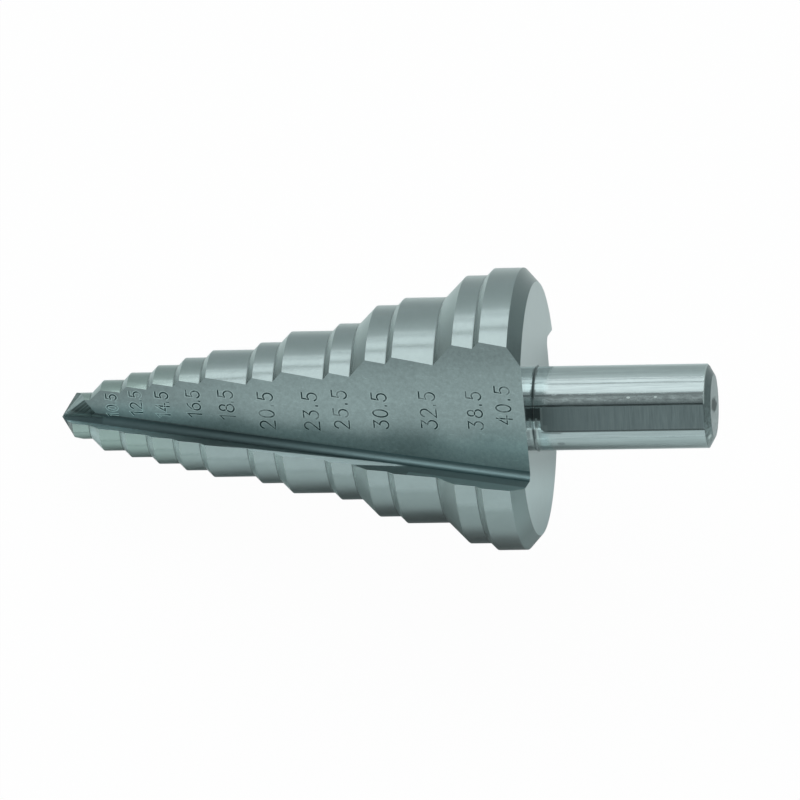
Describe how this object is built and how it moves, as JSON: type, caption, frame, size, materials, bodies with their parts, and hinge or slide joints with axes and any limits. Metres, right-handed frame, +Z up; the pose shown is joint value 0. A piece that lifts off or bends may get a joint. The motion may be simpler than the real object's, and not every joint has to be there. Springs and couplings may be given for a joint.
{
  "type": "step drill",
  "caption": "Cone-shaped step drill for sheet metal: ground steps with angled risers, straight V flutes, a split point and a round shank with clamping flats.",
  "frame": {"origin": "on the surface that the drill lies on, below the middle of its bounding box", "axes": "+X from the point towards the shank, level; +Z up out of the upper flute; +Y across the drill"},
  "size_m": [0.093, 0.0402, 0.035],
  "materials": {
    "step_drill": "ground and polished high speed steel, satin in the flutes, bright on the lands"
  },
  "bodies": {
    "root": {"step_drill": "step_drill"}
  },
  "joints": []
}
